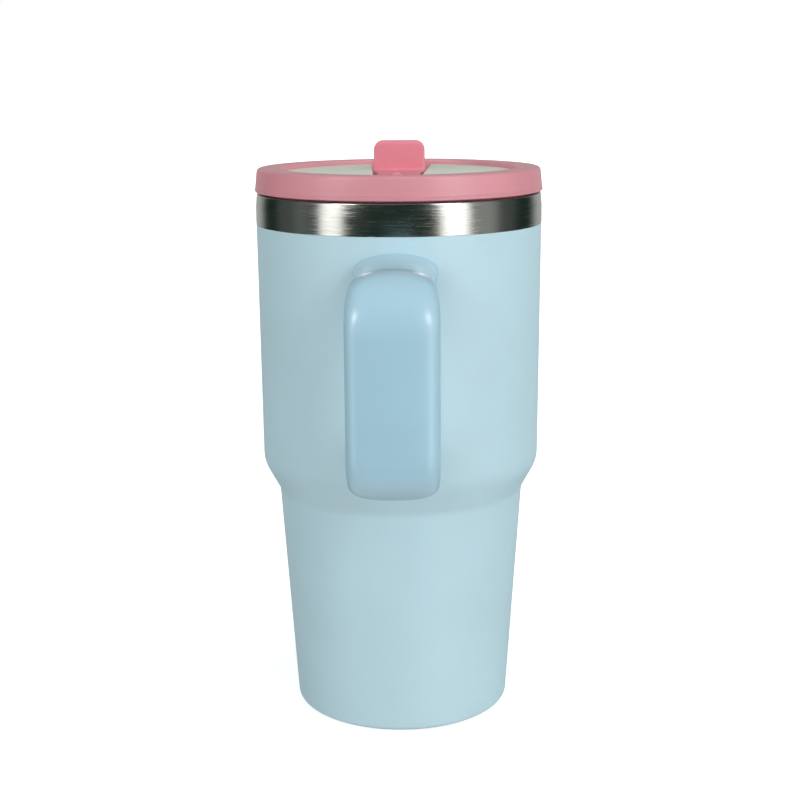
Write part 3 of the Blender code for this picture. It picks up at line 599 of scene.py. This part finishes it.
def make_lid(material):
    """Ring, web, plug wall, channel trough and drink tube in one moulding."""
    inner_plug = PLUG_R - PLUG_WALL_T
    web_low = WEB_TOP_Z - WEB_T
    line_middle = (LINE_HIGH_Z + LINE_LOW_Z) / 2
    outline = rounded_line([
        (0.0, WEB_TOP_Z, 0.0), (RECESS_R, WEB_TOP_Z, 0.3 * MM),
        (RECESS_R, LID_TOP_Z, 0.5 * MM), (LID_TOP_R, LID_TOP_Z, 1.1 * MM),
        (LID_BEAD_R - 0.12 * MM, LINE_HIGH_Z, 0.2 * MM), (LID_BEAD_R - 0.22 * MM, line_middle, 0.05 * MM),
        (LID_BEAD_R, LINE_LOW_Z, 0.15 * MM), (LID_BEAD_R, LID_SEAT_Z, 0.35 * MM),
        (PLUG_R, LID_SEAT_Z, 0.5 * MM),
        (PLUG_R, GROOVE_HIGH_Z, 0.1 * MM), (GROOVE_R, GROOVE_HIGH_Z, 0.1 * MM),
        (GROOVE_R, GROOVE_LOW_Z, 0.1 * MM), (PLUG_R, GROOVE_LOW_Z, 0.1 * MM),
        (PLUG_R, PLUG_LOW_Z, 0.8 * MM), (inner_plug, PLUG_LOW_Z, 0.3 * MM),
        (inner_plug, web_low, 0.8 * MM), (0.0, web_low, 0.0)], 6)
    lid = turned("lid_moulding", outline)
    trough = loft("trough", [channel_ring(TROUGH_WALL_T, CHANNEL_FLOOR_Z - TROUGH_WALL_T),
                             channel_ring(TROUGH_WALL_T, WEB_TOP_Z - 0.4 * MM)])
    low = LID_LOW.z
    combine(lid, trough, "UNION")
    combine(lid, cylinder("tube", DRINK_TUBE_R, (0, DRINK_Y, low), (0, DRINK_Y, CHANNEL_FLOOR_Z - MM)),
            "UNION")
    combine(lid, channel_cut(), "DIFFERENCE")
    combine(lid, cylinder("hole", DRINK_R, (0, DRINK_Y, low - MM), (0, DRINK_Y, CHANNEL_FLOOR_Z + MM)),
            "DIFFERENCE")
    combine(lid, cylinder("pin_hole", PIN_BORE_R, (PIN_LOW.x - 3 * MM, HINGE_Y, HINGE_Z),
                          (PIN_HIGH.x + 3 * MM, HINGE_Y, HINGE_Z), 32), "DIFFERENCE")
    settle(finish_mesh(lid), "lid", material, "lid_body")


def insert_ring(side, inset, z, arc_steps=96):
    """Plan of one insert: a chord along the channel and the arc of the recess."""
    radius = RECESS_R - 0.15 * MM - inset
    margin = 0.15 * MM + inset
    near_x, near_y = side_meets_circle(margin, radius, -1)
    far_x, far_y = side_meets_circle(margin, radius, 1)
    first, last = math.atan2(near_y, near_x), math.atan2(far_y, far_x)
    points = []
    for step in range(arc_steps + 1):
        angle = first + (last - first) * step / arc_steps
        points.append((side * math.cos(angle) * radius, math.sin(angle) * radius, z))
    return points


def make_inserts(material):
    """The pale inserts, with edges rounded over to the channel and to the recess's wall."""
    edge, edge_steps = 0.35 * MM, 6
    for side, name in ((-1, "left_insert"), (1, "right_insert")):
        rings = [insert_ring(side, 0.0, WEB_TOP_Z)]
        for step in range(edge_steps + 1):
            angle = math.pi / 2 * step / edge_steps
            rings.append(insert_ring(side, edge * (1 - math.cos(angle)),
                                     DECK_Z - edge + edge * math.sin(angle)))
        insert = new_object(f"{name}_plate", loft(f"{name}_plate", rings))
        settle(finish_mesh(insert), "lid", material, name)


def make_underside(material):
    """Cover under the lid's air space: a disc with two ring grooves and a hole for the tube."""
    low, high = COVER_LOW.z, COVER_HIGH.z
    radius, groove_roof, round_r = COVER_HIGH.x, low + 0.5 * MM, 0.3 * MM
    corners = [(0.0, high, 0.0), (radius, high, 0.2 * MM), (radius, low, 0.5 * MM)]
    for ring in (36.0 * MM, 14.0 * MM):
        corners += [(ring + 0.9 * MM, low, round_r), (ring + 0.5 * MM, groove_roof, round_r),
                    (ring - 0.5 * MM, groove_roof, round_r), (ring - 0.9 * MM, low, round_r)]
    corners.append((0.0, low, 0.0))
    cover = turned("underside_cover", rounded_line(corners, 4))
    combine(cover, cylinder("tube_hole", DRINK_TUBE_R + 0.15 * MM, (0, DRINK_Y, low - MM),
                            (0, DRINK_Y, high + MM)), "DIFFERENCE")
    settle(finish_mesh(cover), "lid", material, "lid_underside")


def make_gasket(material):
    """Seal ring with two swept lips."""
    low, high = GASKET_LOW.z, GASKET_HIGH.z
    root, lip, back = PLUG_R + 0.3 * MM, GASKET_HIGH.x, GROOVE_R + 0.05 * MM
    line = rounded_line([
        (back, high, 0.1 * MM), (root, high, 0.2 * MM), (lip, high - 0.25 * MM, 0.15 * MM),
        (lip, high - 0.65 * MM, 0.15 * MM), (root, high - 1.1 * MM, 0.3 * MM),
        (root, low + 1.1 * MM, 0.3 * MM), (lip, low + 0.85 * MM, 0.15 * MM),
        (lip, low + 0.45 * MM, 0.15 * MM), (root, low, 0.2 * MM), (back, low, 0.1 * MM)],
        4, closed=True)
    gasket = turned("gasket_ring", line, closed=True)
    settle(finish_mesh(gasket), "lid", material, "lid_gasket")


def make_stopper(material):
    """Stopper under the tongue: a stem, a sealing flange with a bead, and a tapered plug."""
    top, tip = STOPPER_HIGH.z, STOPPER_LOW.z
    flange_r, stem_r = STOPPER_HIGH.x, 4.0 * MM
    flange_low = CHANNEL_FLOOR_Z + 0.2 * MM
    line = rounded_line([
        (0.0, top, 0.0), (stem_r, top, 0.2 * MM), (stem_r, flange_low + 2.0 * MM, 0.8 * MM),
        (flange_r, flange_low + 1.6 * MM, 0.6 * MM), (flange_r, flange_low, 0.4 * MM),
        (5.2 * MM, flange_low + 0.3 * MM, 0.3 * MM), (5.2 * MM, flange_low - 0.6 * MM, 0.3 * MM),
        (4.7 * MM, flange_low - 1.2 * MM, 0.3 * MM), (4.3 * MM, tip, 0.8 * MM),
        (2.4 * MM, tip, 0.4 * MM), (2.2 * MM, tip + 1.2 * MM, 0.4 * MM), (0.0, tip + 1.4 * MM, 0.0)], 5)
    stopper = turned("stopper_plug", line, steps=96)
    stopper.location = (0.0, DRINK_Y, 0.0)
    settle(finish_mesh(stopper), "lever", material, "drink_stopper")


# ---------------------------------------------------------------- lever
def prism(name, outline, low, high, to_world):
    """An outline given a thickness; to_world places (a, b, c) with c along the thickness."""
    rings = [[to_world(point[0], point[1], c) for point in outline] for c in (low, high)]
    return loft(name, rings)


def mirrored(right):
    """A closed outline from its right half's (x, y, fillet radius) corners."""
    return right + [(-x, y, radius) for x, y, radius in reversed(right)]


def lever_side_outline():
    """The L in Y and Z: the tab behind, the tongue in front."""
    tongue_low = TONGUE_TOP_Z - TONGUE_T
    corners = [
        (TAB_BACK_Y, TAB_TOP_Z, 1.6 * MM), (TAB_FRONT_Y, TAB_TOP_Z, 1.6 * MM),
        (TAB_FRONT_Y, TONGUE_TOP_Z, 0.5 * MM), (TONGUE_TIP_Y, TONGUE_TOP_Z, 0.5 * MM),
        (TONGUE_TIP_Y, tongue_low, 1.2 * MM), (TAB_FRONT_Y - 2 * MM, tongue_low, 0.0),
        (TAB_FRONT_Y, HINGE_Z, 0.0), (TAB_BACK_Y, HINGE_Z, 0.0)]
    return rounded_line(corners, 8, closed=True)


def lever_plan_outline():
    """X and Y: as wide as the tab at its foot, then stepped in and tapered to a round tip."""
    tip_half = TAB_HALF_W - TONGUE_TAPER * (TAB_FRONT_Y - TONGUE_TIP_Y)
    corners = mirrored([
        (tip_half, TONGUE_TIP_Y, tip_half * 0.8),
        (TAB_HALF_W - 1.3 * MM, TAB_FRONT_Y - 5.0 * MM, 2.0 * MM),
        (TAB_HALF_W, TAB_FRONT_Y - 2.5 * MM, 1.0 * MM), (TAB_HALF_W, TAB_BACK_Y + 4 * MM, 0.0)])
    return rounded_line(corners, 10, closed=True)


def lever_front_outline():
    """X and Z: the tab's round top corners."""
    corners = mirrored([
        (TAB_HALF_W, HINGE_Z - 8 * MM, 0.0), (TAB_HALF_W, TAB_TOP_Z, TAB_CORNER_R)])
    return rounded_line(corners, 12, closed=True)


def make_lever(material):
    """The lever as one moulding, its edges rounded by a fine remesh and smoothing."""
    wide, pin_reach = TAB_HALF_W + 2 * MM, TAB_HALF_W - 0.1 * MM
    lever = new_object("lever_moulding", prism(
        "lever_moulding", lever_side_outline(), -wide, wide, lambda a, b, c: (c, a, b)))
    combine(lever, prism("plan", lever_plan_outline(), HINGE_Z - 6 * MM, TAB_TOP_Z + 2 * MM,
                         lambda a, b, c: (a, b, c)), "INTERSECT")
    combine(lever, prism("front", lever_front_outline(), TONGUE_TIP_Y - 10 * MM, TAB_BACK_Y + 10 * MM,
                         lambda a, b, c: (a, c, b)), "INTERSECT")
    combine(lever, cylinder("barrel", BARREL_R, (-pin_reach, HINGE_Y, HINGE_Z),
                            (pin_reach, HINGE_Y, HINGE_Z)), "UNION")
    nib_place = Matrix.Translation((0, NIB_Y, TONGUE_TOP_Z)) @ Matrix.Diagonal((*NIB_HALF_SIZE, 1.0))
    nib = mesh_from("nib", lambda shape: bmesh.ops.create_uvsphere(
        shape, u_segments=48, v_segments=24, radius=1.0, matrix=nib_place))
    combine(lever, nib, "UNION")
    combine(lever, cylinder("bore", PIN_BORE_R, (-wide, HINGE_Y, HINGE_Z), (wide, HINGE_Y, HINGE_Z), 48),
            "DIFFERENCE")
    remesh = lever.modifiers.new("Fine", "REMESH")
    remesh.mode = "VOXEL"
    remesh.voxel_size = 0.26 * MM
    remesh.use_smooth_shade = True
    soften = lever.modifiers.new("Soften", "SMOOTH")
    soften.factor = 0.5
    soften.iterations = 14
    settle(finish_mesh(lever, 60.0), "lever", material, "flip_lever")


# ---------------------------------------------------------------- studio
def around(azimuth, distance, height):
    """A place round the object: azimuth 0 is in front of the handle, 90 is towards +X."""
    angle = math.radians(azimuth)
    return (math.sin(angle) * distance, -math.cos(angle) * distance, height)


SOFT_END = 0.12                    # how softly a softbox ends above and below, as a sine
FILL_ANGLE = math.radians(55.0)


class Sky:
    """World light that depends only on direction, so it falls evenly on a floor of any size."""

    def __init__(self):
        self.world = bpy.data.worlds.new("studio")
        self.world.use_nodes = True
        self.nodes = self.world.node_tree.nodes
        self.links = self.world.node_tree.links
        self.nodes.clear()
        direction = self.nodes.new("ShaderNodeTexCoord").outputs["Generated"]
        split = self.nodes.new("ShaderNodeSeparateXYZ")
        self.links.new(direction, split.inputs["Vector"])
        self.height = split.outputs["Z"]
        level = self.nodes.new("ShaderNodeVectorMath")
        level.operation = "MULTIPLY"
        level.inputs[1].default_value = (1.0, 1.0, 0.0)
        self.links.new(direction, level.inputs[0])
        flat = self.nodes.new("ShaderNodeVectorMath")
        flat.operation = "NORMALIZE"
        self.links.new(level.outputs["Vector"], flat.inputs[0])
        self.heading = flat.outputs["Vector"]
        self.light = None

    def arithmetic(self, operation, first, second):
        """A sum, product or the like of two sockets or numbers."""
        node = self.nodes.new("ShaderNodeMath")
        node.operation = operation
        for socket, value in zip(node.inputs, (first, second)):
            if isinstance(value, (int, float)):
                socket.default_value = value
            else:
                self.links.new(value, socket)
        return node.outputs["Value"]

    def step(self, value, start, end):
        """A smooth step from 0 at start to 1 at end; start may be the larger."""
        span = self.nodes.new("ShaderNodeMapRange")
        span.interpolation_type = "SMOOTHSTEP"
        span.inputs["From Min"].default_value = start
        span.inputs["From Max"].default_value = end
        self.links.new(value, span.inputs["Value"])
        return span.outputs["Result"]

    def add(self, value, strength, tint=WHITE):
        """Add light of a strength and tint wherever value is above 0."""
        scale = self.nodes.new("ShaderNodeVectorMath")
        scale.operation = "SCALE"
        scale.inputs[0].default_value = near(tint, strength)
        self.links.new(value, scale.inputs["Scale"])
        if self.light is None:
            self.light = scale.outputs["Vector"]
            return
        total = self.nodes.new("ShaderNodeVectorMath")
        self.links.new(self.light, total.inputs[0])
        self.links.new(scale.outputs["Vector"], total.inputs[1])
        self.light = total.outputs["Vector"]

    def band(self, low, high):
        """1 between two heights (sines of elevation), soft at both ends."""
        rise = self.step(self.height, low - SOFT_END, low + SOFT_END)
        fall = self.step(self.height, high + SOFT_END, high - SOFT_END)
        return self.arithmetic("MULTIPLY", rise, fall)

    def strip(self, azimuth, half_width, edge, low, high, strength):
        """An upright softbox between two sines of elevation; its azimuth is as around() has it."""
        angle = math.radians(azimuth)
        dot = self.nodes.new("ShaderNodeVectorMath")
        dot.operation = "DOT_PRODUCT"
        dot.inputs[1].default_value = (math.sin(angle), -math.cos(angle), 0.0)
        self.links.new(self.heading, dot.inputs[0])
        outer = math.cos(math.radians(half_width + edge))
        inner = math.cos(math.radians(max(0.0, half_width - edge)))
        across = self.step(dot.outputs["Value"], outer, inner)
        self.add(self.arithmetic("MULTIPLY", across, self.band(low, high)), strength)

    def finish(self):
        """Light everything with the sum, but show plain white behind the object."""
        colour = self.nodes.new("ShaderNodeBackground")
        self.links.new(self.light, colour.inputs["Color"])
        seen = self.nodes.new("ShaderNodeBackground")
        seen.inputs["Color"].default_value = (*WHITE, 1.0)
        mix = self.nodes.new("ShaderNodeMixShader")
        path = self.nodes.new("ShaderNodeLightPath")
        output = self.nodes.new("ShaderNodeOutputWorld")
        self.links.new(path.outputs["Is Camera Ray"], mix.inputs["Fac"])
        self.links.new(colour.outputs["Background"], mix.inputs[1])
        self.links.new(seen.outputs["Background"], mix.inputs[2])
        self.links.new(mix.outputs["Shader"], output.inputs["Surface"])
        bpy.context.scene.world = self.world


def fill_light(name, azimuth, elevation, strength):
    """A very soft far light that shows in no reflection."""
    light = bpy.data.lights.new(name, "SUN")
    light.energy = strength
    light.angle = FILL_ANGLE
    lamp = bpy.data.objects.new(name, light)
    level = math.cos(math.radians(elevation))
    lamp.location = around(azimuth, level, math.sin(math.radians(elevation)))
    lamp.rotation_mode = "QUATERNION"
    lamp.rotation_quaternion = (-lamp.location).to_track_quat("-Z", "Y")
    lamp.visible_glossy = False
    bpy.context.scene.collection.objects.link(lamp)


def make_studio():
    """A softbox each side of the camera, dim light all round, and fill for the matt surfaces."""
    sky = Sky()
    sky.add(sky.step(sky.height, 0.60, 0.90), 0.55)               # overhead
    sky.add(sky.step(sky.height, -0.50, -0.80), 0.90)             # bounce from below
    sky.add(sky.step(sky.height, -2.0, -1.0), 0.03, GREENISH)     # the dark room, everywhere
    sky.strip(-53.5, 7.5, 6.0, -0.45, 0.50, 1.55)                 # left softbox
    sky.strip(46.0, 10.5, 5.0, -0.45, 0.50, 1.8)                  # right softbox
    sky.strip(-47.0, 7.0, 5.0, 0.36, 0.62, 9.0)                   # their bright upper parts
    sky.strip(41.0, 7.0, 5.0, 0.36, 0.62, 9.0)
    sky.strip(-72.0, 10.0, 12.0, -0.45, 0.45, 0.08)               # dim walls beside them
    sky.strip(66.0, 14.0, 12.0, -0.45, 0.45, 0.26)
    sky.strip(-95.0, 12.0, 10.0, -0.45, 0.45, 0.06)
    sky.strip(90.0, 12.0, 12.0, -0.45, 0.45, 0.06)
    sky.strip(180.0, 41.0, 12.0, -0.45, 0.45, 0.42)               # the wall behind the object
    sky.finish()
    fill_light("left_fill", -75.0, 15.0, 0.81)
    fill_light("front_left_fill", -35.0, 15.0, 0.60)
    fill_light("front_right_fill", 38.0, 15.0, 0.78)
    fill_light("right_fill", 82.0, 15.0, 1.52)


def make_floor():
    """A plain pale floor, far wider than the object, that lights and mirrors into nothing."""
    surface = Surface("floor_paint").put({"Roughness": 0.9, "Specular IOR Level": 0.2})
    surface.color(surface.noise(6.0), (0.90, 0.90, 0.90), (0.93, 0.93, 0.93))
    surface.put({"Emission Color": (*WHITE, 1.0), "Emission Strength": 0.50})
    floor = new_object("floor", mesh_from("floor", lambda shape: bmesh.ops.create_circle(
        shape, cap_ends=True, segments=96, radius=12.0)))
    floor.data.materials.append(surface.material)
    floor.visible_glossy = False
    floor.visible_diffuse = False


def make_camera():
    """A 67 mm lens half a metre from the cup, a little above its lid and tilted down."""
    azimuth, distance, height = 1.35, 0.5107, 0.2216
    tilt, roll, pan = math.radians(12.494), math.radians(-0.42), math.radians(0.01)
    data = bpy.data.cameras.new("camera")
    data.sensor_width = 36.0
    data.lens = 67.11
    data.clip_start = 0.01
    camera = bpy.data.objects.new("camera", data)
    camera.location = around(azimuth, distance, height)
    camera.rotation_mode = "XYZ"
    turn = Matrix.Rotation(math.radians(azimuth) + pan, 4, "Z")
    lean = Matrix.Rotation(math.pi / 2 - tilt, 4, "X")
    camera.rotation_euler = (turn @ lean @ Matrix.Rotation(roll, 4, "Z")).to_euler()
    bpy.context.scene.collection.objects.link(camera)
    bpy.context.scene.camera = camera


def assign(node, material):
    """Give a carried-over CAD node its finished material."""
    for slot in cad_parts[node].material_slots:
        slot.material = material


def build_looks():
    """Make every finished piece, and give the CAD nodes that stay their materials."""
    steel_band = brushed_steel("band_steel", 2800.0, 0.10, 0.30)
    steel_inside = brushed_steel("liner_steel", 1600.0, 0.26, 0.38)
    pink = pink_plastic("lid_pink", RING_PINK, 0.34, 0.42)
    make_wall(powder_coat())
    make_liner(steel_band, steel_inside)
    make_base_pad(base_rubber())
    make_handle(handle_plastic())
    make_screws(plain_metal("screw_plating", ZINC, 0.25, 0.4, 900.0, 0.00001))
    make_lid(pink)
    make_inserts(insert_plastic())
    make_underside(pink_plastic("cover_pink", RING_PINK, 0.42, 0.52))
    clear = silicone()
    make_gasket(clear)
    make_stopper(clear)
    make_lever(pink_plastic("lever_pink", LEVER_PINK, 0.36, 0.42))
    assign("foil_wrap", plain_metal("copper_foil", COPPER, 0.18, 0.32, 260.0, 0.0002))
    assign("getter", plain_metal("getter_alloy", GETTER, 0.5, 0.7, 1500.0, 0.00005))
    assign("vacuum_seal", plain_metal("braze", BRAZE, 0.4, 0.6, 1200.0, 0.00004))
    plate = brushed_steel("plate_steel", 1200.0, 0.3, 0.42)
    for node in ("base_plate", "upper_bracket", "lower_bracket"):
        assign(node, plate)
    assign("hinge_pin", plain_metal("pin_steel", PIN_STEEL, 0.25, 0.4, 1500.0, 0.00001))


build_looks()
make_floor()
make_studio()
make_camera()
bpy.context.scene.view_settings.view_transform = "Standard"
